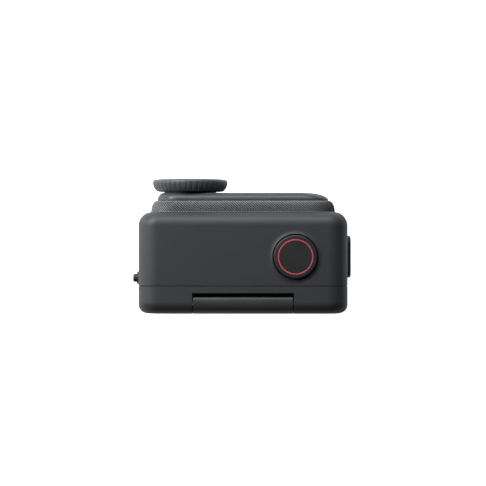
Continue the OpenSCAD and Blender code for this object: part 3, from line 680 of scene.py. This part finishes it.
# The notch in its top edge for the barrel
notch = [(SEAM_Y + 2.25, TOP_Z + 1), (SEAM_Y + 2.25, AXIS_Z + 3.22)]
notch += arc_points(HINGE, HINGE_R + 0.3, 131.5, 233, 21)[1:-1]
notch += [(REAR_WALL_Y, AXIS_Z - 3.43), (REAR_WALL_Y, AXIS_Z - 6.5)]
notch += [(REAR_Y + 2, AXIS_Z - 6.5), (REAR_Y + 2, TOP_Z + 1)]
cut(
    rear,
    extrude_x("notch", notch, -NOTCH_HALF, NOTCH_HALF, 0.01),
    bore("pin_hole", [(1.02, -21.1), (1.02, 21.1)], HINGE, "x"),
    bore("washer_hole", [(2.4, -NOTCH_HALF - 1.2), (2.4, NOTCH_HALF + 1.2)], HINGE, "x"),
)
screw = [(1.0, 6), (1.0, REAR_WALL_Y - 1.3), (1.8, REAR_WALL_Y - 1.3)]
screw += [(1.8, REAR_WALL_Y - 0.15), (2.0, REAR_WALL_Y + 0.1)]
for x in (-24, 24):
    for z in (4.3, 40.3):
        cut(rear, bore("screw_hole", screw, (x, z), "y"))
piece(rear, "camera_body", M["housing"], ["rear_housing"])

# The dark seal line between the two housings
gasket_rings = []
for inset, y in ((0.30, -0.14), (0.26, 0.0), (0.30, 0.14), (1.6, 0.14), (1.6, -0.14)):
    r = CORNER_R - inset
    points = outline((-HALF_W + inset, inset), (HALF_W - inset, TOP_Z - inset), [r] * 4, 16, 10)
    gasket_rings.append(place(points, "y", SEAM_Y + y))
gasket = loft("seam_gasket", gasket_rings, closed=True)
piece(gasket, "camera_body", M["rubber"], ["housing_gasket"])

# ---------------------------------------------------------------- cooling band, with its slanted ribs


def ribbed_band():
    """The band round the front, with its ribs, and how deep in a groove each point is, which sets the
    painted shade down in each groove.
    """
    pitch, slant, deep = 0.86, 1.05, 0.32
    low, high, r = (band_low.x, band_low.z), (band_high.x, band_high.z), 8.0
    width, height = high[0] - low[0], high[1] - low[1]
    total = 2 * (width + height) - 8 * r + 2 * math.pi * r
    ribs = round(total / pitch)
    step = total / (ribs * 8)
    arc = round(math.pi / 2 * r / step)
    edges = [round((width - 2 * r) / step), round((height - 2 * r) / step)] * 2
    base = outline(low, high, [r] * 4, arc, edges)
    n = len(base)
    along = [0.0]
    for i in range(1, n):
        along.append(along[-1] + math.dist(base[i], base[i - 1]))
    scale = ribs / (along[-1] + math.dist(base[0], base[-1]))
    depth = FRONT_Y - PLATE_Y
    rows, bulge = 30, 1.95
    rings_out, groove_shade = [], []
    for k in range(rows + 1):
        t = k / rows
        y = FRONT_Y - depth * t
        pull = bulge * (1 - math.sqrt(1 - (t * 0.985) ** 2))
        fade = min(t * depth / 0.18, (1 - t) * depth / 0.42, 1.0)
        fade = fade * fade * (3 - 2 * fade)
        corners = (low[0] + pull, low[1] + pull), (high[0] - pull, high[1] - pull)
        points = outline(*corners, [r - pull] * 4, arc, edges)
        moved = []
        for i, p in enumerate(points):
            a, b = points[i - 1], points[(i + 1) % n]
            out = Vector((b[1] - a[1], a[0] - b[0])).normalized()
            phase = (along[i] * scale - slant * (y - FRONT_Y) / pitch) * 2 * math.pi
            dip = fade * (0.5 - 0.5 * math.cos(phase)) ** 1.3
            moved.append((p[0] - out.x * deep * dip, y, p[1] - out.y * deep * dip))
            groove_shade.append(min(1.15 * dip, 1))
        rings_out.append(moved)
    lip_in = bulge + 0.5
    for y, pull in ((PLATE_Y, lip_in), (PLATE_Y, lip_in + 1.6), (FRONT_Y, lip_in + 1.6)):
        corners = (low[0] + pull, low[1] + pull), (high[0] - pull, high[1] - pull)
        points = outline(*corners, [max(5.5 + lip_in - pull, 3.2)] * 4, arc, edges)
        rings_out.append(place(points, "y", y))
        groove_shade += [0.0] * n
    # Each point's groove depth is kept on the mesh, to paint shade down in each groove.
    band = loft("cooling_band_ribbed", rings_out, True)
    band.data.attributes.new("groove_shade", "FLOAT", "POINT").data.foreach_set("value", groove_shade)
    return band


piece(ribbed_band(), "camera_body", M["ribbed"], ["cooling_band"], angle=50)

# ---------------------------------------------------------------- front plate


def front_cover():
    """The front plate: steep on the lens side, and falling away in one long curve on the other."""
    depth = PLATE_Y - FACE_Y
    pulls = (7.6, 2.3, 2.6, 2.6)
    steps = 22
    rim = ((0.02, 0.12), (0.1, 0.03), (0.2, 0.0))
    stations = [(PLATE_Y - rise, [pull] * 4, 7 - pull) for rise, pull in rim]
    for i in range(1, steps + 1):
        a = math.pi / 2 * i / steps
        y, fall = PLATE_Y - 0.2 - (depth - 0.2) * math.sin(a), 1 - math.cos(a)
        stations.append((y, [p * fall for p in pulls], 7 - 2.6 * fall))
    rings_out = []
    for y, (left, right, low, top), r in stations:
        corners = (plate_low.x + left, plate_low.z + low), (plate_high.x - right, plate_high.z - top)
        rings_out.append(place(outline(*corners, [r] * 4, 20, 16), "y", y))
    cover = loft("front_cover", rings_out)
    neck = [(NECK_R + 0.5, FACE_Y - 0.5), (NECK_R + 0.32, FACE_Y)]
    neck += [(NECK_R + 0.05, FACE_Y + 0.25), (NECK_R + 0.05, PLATE_Y + 2)]
    light_hole = [(1.0, FACE_Y - 0.5), (0.78, FACE_Y + 0.15), (0.78, PLATE_Y + 2)]
    cut(
        cover,
        plate(
            "cover_pocket", "y", PLATE_Y - 1, PLATE_Y + 1, (-25.4, plate_low.z + 3.2),
            (25.6, plate_high.z - 3.2), [1.0] * 4, (0.05, 0.05), 2,
        ),
        bore("neck_hole", neck, LENS, "y", 128),
        bore("light_hole", light_hole, STATUS_LIGHT, "y"),
    )
    mic_hole = [(0.65, FACE_Y - 0.4), (0.4, FACE_Y + 0.2), (0.4, PLATE_Y + 2)]
    for x in MIC_X:
        cut(cover, bore("mic_hole", mic_hole, (x, MIC_Z), "y", 40))
    slant = Matrix.Rotation(math.radians(30), 4, "Y")
    for i in range(6):
        ends = around((0, 0), 0.45, 2.5)
        slot = plate("sound_slot", "y", FACE_Y - 2, PLATE_Y + 1, *ends, [0.44] * 4, (0.05, 0.05), 2)
        slot.data.transform(Matrix.Translation(((11 + 2 * i) * MM, 0, 12 * MM)) @ slant)
        cut(cover, slot)
    return cover


piece(front_cover(), "camera_body", M["plate"], ["front_plate"])
lens_side = [(0.01, FACE_Y + 0.02), (0.4, FACE_Y + 0.04), (0.62, FACE_Y + 0.12), (0.72, FACE_Y + 0.3)]
lens_side += [(0.72, PLATE_Y - 0.4), (1.3, PLATE_Y - 0.4), (1.3, PLATE_Y + 0.6)]
lens_side.append((0.01, PLATE_Y + 0.6))
light = bore("status_lens", lens_side, STATUS_LIGHT, "y")
piece(light, "camera_body", M["window"], ["status_light"])

# ---------------------------------------------------------------- lens

bezel_front = GUARD_FRONT + 1.15
neck = [(NECK_R, bezel_front), (NECK_R, PLATE_Y + 0.9), (7.4, PLATE_Y + 0.9), (7.4, FACE_Y + 0.2)]
neck += [(7.9, bezel_front + 0.9), (8.35, bezel_front)]
neck = lathe("lens_neck", round_path(neck, 0.12), LENS, "y", 160)
piece(neck, "camera_body", M["lens_black"], ["lens_bezel"])
tube = [(7.25, FACE_Y + 0.2), (7.25, -14), (6.6, -14), (6.6, -5), (5.6, -5), (5.6, FACE_Y + 2.6)]
for i in range(5):
    r, y = 5.75 + 0.16 * i, FACE_Y + 2.5 - 0.2 * i
    tube += [(r, y), (r + 0.2, y - 0.1)]
tube += [(6.45, FACE_Y + 1.4), (6.45, FACE_Y + 0.5), (6.7, FACE_Y + 0.25)]
tube = lathe("lens_tube", round_path(tube, 0.06, 2), LENS, "y", 128)
piece(tube, "camera_body", M["lens_black"], ["lens_barrel"])


def dome(name, rim, rise, back, thick):
    """A glass disc with a domed front face, looking along -Y."""
    steps = 24
    ball = (rim * rim + rise * rise) / (2 * rise)
    points = [(0.01, back), (rim - 0.12, back), (rim, back - 0.12), (rim, back - thick)]
    for i in range(1, steps):
        r = rim * (1 - i / steps)
        points.append((r, back - thick - (math.sqrt(ball * ball - r * r) - (ball - rise))))
    points.append((0.01, back - thick - rise))
    return bore(name, points, LENS, "y", 128)


element = dome("lens_front_glass", 6.38, 1.9, FACE_Y + 1.5, 1.15)
piece(element, "camera_body", M["lens_glass"], ["front_lens_element"])
window = dome("guard_window", 10.33, 0.5, GUARD_FRONT + 0.93, 0.8)
piece(window, "lens_guard", M["guard_glass"], ["guard_glass"])

# The guard's ring, with grip flutes round its tapered side
FLUTES = 42
deep = GUARD_Y - GUARD_FRONT
side = [(10.35, 0.01), (10.72, 0.04), (11.02, 0.13), (11.24, 0.29), (11.45, 0.52), (11.70, 0.82)]
side += [(11.90, 1.12), (12.10, 1.46), (12.25, 1.80), (12.37, 2.20), (12.46, 2.58), (12.50, 2.92)]
side += [(12.49, 3.22), (12.43, 3.45), (12.30, 3.68), (12.10, 3.86), (11.80, 4.0)]
inner = [(11.4, deep - 0.11), (10.9, deep - 0.04), (10.6, deep), (10.46, deep - 0.05)]
inner += [(10.4, deep - 0.14), (10.4, deep - 0.94), (8.72, deep - 0.94)]
inner += [(8.72, 1.9), (9.5, 1.9), (9.5, 0.8), (8.72, 0.8), (8.72, 0.1), (8.8, 0.02)]
ring_profile = [(r, GUARD_Y - d) for r, d in side + inner]


def flute(angle, index):
    """How far the side is drawn in by a flute, fading at both ends of the taper."""
    if index >= len(side):
        return 0.0
    depth = side[index][1]
    fade = min(max((depth - 0.15) / 0.6, 0), max((3.5 - depth) / 0.5, 0), 1)
    groove = (0.5 + 0.5 * math.cos(FLUTES * angle)) ** 6
    return -0.18 * fade * groove


piece(
    lathe("guard_ring_fluted", ring_profile, LENS, "y", FLUTES * 16, flute),
    "lens_guard", M["knurl"], ["guard_ring"], angle=40,
)

# ---------------------------------------------------------------- shutter button

top = SHUTTER_TOP
ring_out, ring_in = 5.8, 5.42
foot = WELL_Z + 0.9
cap = [(0.01, 45.4), (1.6, 45.4), (1.6, 46.3), (1.2, 46.3), (1.2, 46.9), (2.0, 46.9), (2.0, foot)]
cap += [(SHUTTER_R - 0.15, foot), (SHUTTER_R, foot + 0.15)]
edge = [(0, 0.50), (0.02, 0.38), (0.08, 0.25), (0.18, 0.13), (0.30, 0.05), (0.45, 0.01), (0.6, 0)]
cap += [(SHUTTER_R - inset, top - drop) for inset, drop in edge]
cap += [(ring_out + 0.12, top), (ring_out + 0.03, top), (ring_out, top - 0.03), (ring_out, top - 0.28)]
cap += [(ring_in, top - 0.28), (ring_in, top - 0.03), (ring_in - 0.03, top), (ring_in - 0.12, top)]
cap += [(4.0, top), (2.0, top), (0.5, top)]
cap = bore("shutter_button_cap", cap, SHUTTER, "z", 192)
piece(cap, "shutter_button", M["button"], ["shutter_cap"], angle=30)
ring = [(ring_in + 0.01, top - 0.27), (ring_out - 0.01, top - 0.27), (ring_out - 0.01, top - 0.03)]
ring += [(ring_out - 0.07, top), (ring_in + 0.07, top), (ring_in + 0.01, top - 0.03)]
ring = lathe("shutter_button_ring", ring, SHUTTER, "z", 192)
piece(ring, "shutter_button", M["red"], ["shutter_ring"])

# ---------------------------------------------------------------- power button


def side_plate(name, d0, d1, centre, half, round_by, ends, steps=2, arc=10, edge=4):
    """A plate that faces along X, centred on a (y, z) spot, with its corners rounded."""
    return plate(name, "x", d0, d1, *around(centre, *half), [round_by] * 4, ends, steps, arc, edge)


cap_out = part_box("power_cap")[1].x / MM
button = side_plate(
    "power_button_cap", HALF_W - 2.3, cap_out, POWER, (1.35, 5.5), 1.34, (0.1, 0.55), 6, 12, 8
)
add(button, side_plate("power_foot", HALF_W - 2.9, HALF_W - 2.2, POWER, (1.7, 5.85), 1.68, (0.1, 0.1)))
piece(button, "power_button", M["button"], ["power_cap"])
rim_out = HALF_W + 0.6
collar = side_plate(
    "power_button_bezel", HALF_W - 0.02, rim_out, POWER, (2.05, 6.2), 2.04, (0.02, 0.25), 4, 12, 8
)
foot = side_plate("collar_foot", HALF_W - 2.0, HALF_W + 0.1, POWER, (1.8, 5.95), 1.79, (0.1, 0.02))
add(collar, foot)
hole = around(POWER, 1.4, 5.55)
cut(collar, flare("collar_hole", "x", HALF_W - 3, rim_out, *hole, [1.39] * 4, 0.12, 0.10))
piece(collar, "camera_body", M["button"], ["power_button_collar"])

# ---------------------------------------------------------------- battery side

PACK = (PACK_Y, (CAP_LOW + CAP_HIGH) / 2)
lid_half = (8.4, (CAP_HIGH - CAP_LOW) / 2)
lid = side_plate(
    "battery_cap_cover", -HALF_W, -HALF_W + 1.7, PACK, lid_half, 3.0, (0.25, 0.1), 4, 12, 8
)
pad_edge = [(0.4, 0.0), (0.0, 0.0), (-0.30, 0.04), (-1.10, 0.18), (-1.28, 0.30), (-1.40, 0.50)]
pad_rings = []
for x, inset in pad_edge + [(-1.45, 0.80)]:
    corners = around(PACK, 7.1 - inset, 14 - inset)
    points = outline(*corners, [2.6 - inset * 0.8] * 4, 12, 10)
    pad_rings.append(place(points, "x", -HALF_W + x))
add(lid, loft("pad", pad_rings))
pocket = (PACK[0] - 2.55, PACK[1] - 4.6), (PACK[0] + 2.55, PACK[1] + 6.6)
cut(lid, plate("latch_pocket", "x", -HALF_W - 2, -HALF_W + 0.3, *pocket, [0.8] * 4, (0.05, 0.1), 2))
piece(lid, "battery", M["housing"], ["battery_cap"])
catch_out = -HALF_W - 1.7
latch = side_plate(
    "battery_catch", catch_out, -HALF_W + 0.2, PACK, (2.45, 4.5), 0.7, (0.28, 0.05), 4, 8, 8
)
for i in range(-2, 3):
    spot = (PACK[0], PACK[1] + 1.4 * i)
    groove = (catch_out - 0.3, catch_out + 0.75, spot, (1.7, 0.3), 0.28, (0.05, 0.1), 2, 6, 2)
    cut(latch, side_plate("catch_groove", *groove))
piece(latch, "battery_release", M["button"], ["battery_latch"])
cell_low, cell_high = (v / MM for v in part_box("battery_cell"))
corners = (cell_low.y, cell_low.z), (cell_high.y, cell_high.z)
cell = plate("battery_block", "x", cell_low.x, cell_high.x, *corners, [0.9] * 4, (0.1, 0.5), 4, 8, 8)
piece(cell, "battery", M["wrap"], ["battery_cell"])

# ---------------------------------------------------------------- port door

door_corners = (DOOR_Y - 3, DOOR_LOW), (DOOR_EDGE, DOOR_TOP)
door = plate(
    "port_door_cover", "x", HALF_W - 1.6, HALF_W, *door_corners, [1.9] * 4, (0.1, 0.22), 4, 12, 8
)
hinged = (DOOR_Y, 0), (10, 60)
keep(door, plate("door_side", "x", HALF_W - 4, HALF_W + 2, *hinged, [0.1] * 4, (0.01, 0.01), 1))
door_pin = (HALF_W - 0.9, DOOR_Y)
barrel = [(0.5, DOOR_LOW), (0.86, DOOR_LOW), (0.86, DOOR_TOP), (0.5, DOOR_TOP)]
add(door, lathe("door_barrel", round_path(barrel, 0.1), door_pin, "z", 64))
finger = [(0.8, 11.4), (1.66, 12.3), (1.7, 12.6), (1.7, 19.4), (1.66, 19.7), (0.8, 20.6)]
cut(
    door,
    bore("door_bore", [(0.5, DOOR_LOW - 1), (0.5, DOOR_TOP + 1)], door_pin, "z"),
    bore("finger_groove", finger, (HALF_W + 1.2, DOOR_EDGE - 1.7), "z", 64),
)
piece(door, "port_door", M["housing"], ["usb_door"])

# ---------------------------------------------------------------- flip screen

front = AXIS_Y - 1.6
arm_profile = [(front, 33.0), (front + 1.8, 33.0), (front + 1.8, 41.2), (AXIS_Y + 2.6, 41.2)]
arm_profile.append((AXIS_Y + 2.6, AXIS_Z - 3.04))
arm_profile += arc_points(HINGE, HINGE_R, -49.4, 104, 36)[1:]
arm_profile += arc_points((front + 1.3, AXIS_Z + 2.48), 1.3, 104, 180, 8)[1:]
arm = extrude_x("hinge_arm_barrel", arm_profile, -16.35, 16.35, 0.16)
cut(arm, bore("arm_bore", [(1.05, -18), (1.05, 18)], HINGE, "x"))
piece(arm, "flip_screen", M["arm"], ["hinge_arm"], angle=28)

shell_low, shell_high = (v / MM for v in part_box("screen_shell"))
s_y0, s_y1, s_low, s_top = shell_low.y, shell_high.y, shell_low.z, shell_high.z
screen_rings = []
for pull, depth in reversed(quarter(0.6, 0.6, 4)):
    corners = (-HALF_W + pull, s_low + pull), (HALF_W - pull, s_top - pull)
    points = outline(*corners, [5.8 - pull] * 2 + [1.2 - pull] * 2, 14, 10)
    screen_rings.append(place(points, "y", s_y0 + 0.6 - depth))
for i in range(17):
    a = math.pi / 2 * i / 16
    y = s_y1 - 3.0 + 3.0 * math.sin(a)
    pull = 3.0 * (1 - math.cos(a))
    past = max(y - (s_y1 - 1.2), 0) / 1.2
    up = 1.2 * (1 - math.sqrt(max(1 - past * past, 0)))
    r_low = max(5.8 - pull, 1.0)
    r_top = max(1.2 - up * 0.5, 0.6)
    corners = (-HALF_W + pull, s_low + pull), (HALF_W - pull, s_top - up)
    screen_rings.append(place(outline(*corners, [r_low] * 2 + [r_top] * 2, 14, 10), "y", y))
back = loft("screen_back_cover", screen_rings)
g_low, g_high = (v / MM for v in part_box("screen_glass"))
seat = (g_low.x - 0.1, g_low.z - 0.1), (g_high.x + 0.1, g_high.z + 0.1)
inside = (-29, 5.2), (29, 39.4)
arm_gap = (-16.45, s_top - 1.5), (16.45, s_top + 3)
foot_gap = (-14.1, 32.9), (14.1, s_top + 1)
cut(
    back,
    flare("glass_seat", "y", s_y1 - 0.8, s_y1, *seat, [4.1] * 4, 0.12, 0.1),
    plate("display_space", "y", 13.2, s_y1 + 1, *inside, [2.0] * 4, (0.05, 0.05), 2),
    plate("arm_seat", "y", front - 0.1, AXIS_Y + 2.7, *arm_gap, [0.3] * 4, (0.02, 0.02), 2),
    plate("foot_seat", "y", front - 0.12, front + 1.9, *foot_gap, [0.3] * 4, (0.02, 0.02), 2),
)
screw = [(1.6, s_y0 - 0.5), (1.5, s_y0 + 0.05), (1.5, s_y0 + 0.45)]
screw += [(0.85, s_y0 + 0.45), (0.85, front + 0.3)]
for x in (-11, 0, 11):
    cut(back, bore("arm_screw_hole", screw, (x, 35.6), "y", 40))
piece(back, "flip_screen", M["housing"], ["screen_shell"])
corners = (g_low.x, g_low.z), (g_high.x, g_high.z)
pane = plate("touch_glass", "y", g_low.y, g_high.y, *corners, [4.0] * 4, (0.1, 0.28), 5, 14, 10)
piece(pane, "flip_screen", M["screen"], ["screen_glass"])

# ---------------------------------------------------------------- base

corners = around(BASE, 19.9, 7.1)
base = plate("base_cover", "z", 0, 1.15, *corners, [3.0] * 4, (0.15, 0.05), 4, 12, 8)
cut(base, bore("socket_gap", [(4.7, -0.2), (4.55, 0.05), (4.55, 2)], BASE, "z", 96))
screw = [(1.45, -0.1), (1.35, 0.05), (1.35, 0.75), (0.75, 0.75), (0.75, 2)]
for side_x in (-1, 1):
    claw = around((side_x * CLAW_X, 0), 1.6, 3.6)
    cut(
        base,
        bore("magnet_gap", [(3.15, -0.1), (3.05, 0.05), (3.05, 2)], (side_x * MAGNET_X, 0), "z", 64),
        flare("claw_gap", "z", 2, 0, *claw, [0.3] * 4, 0.15, 0.15),
    )
    for y in (-5.2, 5.2):
        cut(base, bore("base_screw_hole", screw, (side_x * 12.6, y), "z", 40))
piece(base, "camera_body", M["button"], ["base_plate"])

# The brass insert, with a quarter-inch thread of 20 turns to the inch in its bore
insert_profile = [(3.3, 0.0), (4.38, 0.0), (4.5, 0.12), (4.5, 1.25), (5.0, 1.25), (5.0, 7.0)]
insert_profile += [(0.3, 7.0), (0.3, 6.0), (2.6, 6.0)]
thread_start = len(insert_profile)
THREAD = 1.27
for i in range(1, 100):
    insert_profile.append((2.6, 6.0 - 5.95 * i / 100))


def thread(angle, index):
    """How far the bore grows in the thread's groove, fading at its inner end."""
    if index < thread_start:
        return 0.0
    depth = insert_profile[index][1]
    wave = (depth / THREAD + angle / (2 * math.pi)) % 1.0
    fade = min((6.0 - depth) / 0.8, 1.0)
    return 0.55 * fade * max(1 - abs(2 * wave - 1) * 1.15, 0)


insert = lathe("tripod_socket_thread", insert_profile, BASE, "z", 96, thread)
piece(insert, "camera_body", M["brass"], ["tripod_insert"], angle=40)

# ---------------------------------------------------------------- materials of the CAD nodes that stay

by_node = {
    "button": ["battery_bay", "lens_holder", "card_socket"],
    "black": ["memory_card", "display_panel"],
    "chip": ["board_chips", "speaker", "image_sensor", "microphones"],
    "knurl": ["hinge_friction_washers"],
    "rubber": ["shutter_seal", "shutter_return_spring", "battery_seal", "usb_door_seal", "guard_seal"],
    "steel": [
        "usb_port", "base_magnets", "base_screws", "housing_screws", "hinge_pin",
        "usb_door_pin", "hinge_arm_screws", "shutter_clip", "shutter_switch", "power_switch",
    ],
    "aluminium": ["heat_spreader"],
    "brass": ["battery_contacts", "battery_terminals", "wifi_antenna"],
    "board": ["main_board", "rear_board", "sensor_board", "screen_driver_board"],
    "lens_glass": ["inner_lens_elements", "ir_filter"],
}
for kind, names in by_node.items():
    for name in names:
        mesh = nodes[name].data
        mesh.materials.clear()
        mesh.materials.append(M[kind])

# ---------------------------------------------------------------- floor, light and camera

# The world and the floor are white to the camera, and dim as light on the object.
AMBIENT = 0.05
FLOOR_GLOW = 0.07
FLOOR_SEEN = 1.02
# Each light: its place in metres, its size, and its power.
LIGHTS = {
    "front_soft": ((0.02, -0.42, 0.30), (0.50, 0.20), 1.9),
    "key": ((0.27, -0.27, 0.30), (0.09, 0.09), 1.5),
    "left_strip": ((0.24, -0.06, 0.12), (0.12, 0.26), 0.30),
    "top_left": ((0.12, -0.06, 0.36), (0.14, 0.14), 0.02),
}


def lit_for_camera(tree, seen, dim):
    """A brightness that the camera sees as one value and everything else as another."""
    rays = tree.nodes.new("ShaderNodeLightPath").outputs["Is Camera Ray"]
    return maths(tree, "MULTIPLY_ADD", rays, seen - dim, dim)


def stage_floor():
    """A wide pale floor just under the camera's base."""
    size, thick = 3000, 5
    points = outline((-size, -size), (size, size), [400] * 4, 12, 4)
    rings_out = [place(points, "z", -0.02), place(points, "z", -thick)]
    floor = loft("studio_floor", rings_out)
    mat = bpy.data.materials.new("studio_floor_paint")
    mat.use_nodes = True
    shader = mat.node_tree.nodes["Principled BSDF"]
    shader.inputs["Base Color"].default_value = (0.93, 0.93, 0.93, 1)
    shader.inputs["Roughness"].default_value = 0.9
    shader.inputs["Specular IOR Level"].default_value = 0.1
    shader.inputs["Emission Color"].default_value = (1, 1, 1, 1)
    glow = lit_for_camera(mat.node_tree, FLOOR_SEEN, FLOOR_GLOW)
    mat.node_tree.links.new(glow, shader.inputs["Emission Strength"])
    floor.data.materials.append(mat)


def area_light(name, spot, target, size, power):
    """A soft light that the camera doesn't see, turned to its target."""
    data = bpy.data.lights.new(name, "AREA")
    data.shape = "RECTANGLE"
    data.size, data.size_y = size
    data.energy = power
    obj = bpy.data.objects.new(name, data)
    obj.location = spot
    obj.visible_camera = False
    obj.rotation_euler = (Vector(target) - Vector(spot)).to_track_quat("-Z", "Y").to_euler()
    bpy.context.scene.collection.objects.link(obj)


stage_floor()
scene = bpy.context.scene
scene.view_settings.view_transform = "Standard"
world = bpy.data.worlds.new("studio")
world.use_nodes = True
sky = world.node_tree.nodes["Background"]
sky.inputs["Color"].default_value = (0.98, 0.99, 1.0, 1)
world.node_tree.links.new(lit_for_camera(world.node_tree, 1.0, AMBIENT), sky.inputs["Strength"])
scene.world = world
for name, (spot, size, power) in LIGHTS.items():
    area_light(name, spot, (0, 0, 0.035), size, power)

# The camera looks straight down, from the distance at which its frame is FRAME_WIDTH across.
FRAME_WIDTH, LENS_MM, SENSOR_MM = 0.1590, 200, 36
camera = bpy.data.cameras.new("camera")
camera.lens = LENS_MM
camera.sensor_width = SENSOR_MM
camera.clip_start, camera.clip_end = 0.01, 10
eye = bpy.data.objects.new("camera", camera)
eye.location = (0.0, -0.0065, TOP_Z * MM + FRAME_WIDTH * LENS_MM / SENSOR_MM)
eye.rotation_euler = (0, 0, math.pi)
scene.collection.objects.link(eye)
scene.camera = eye
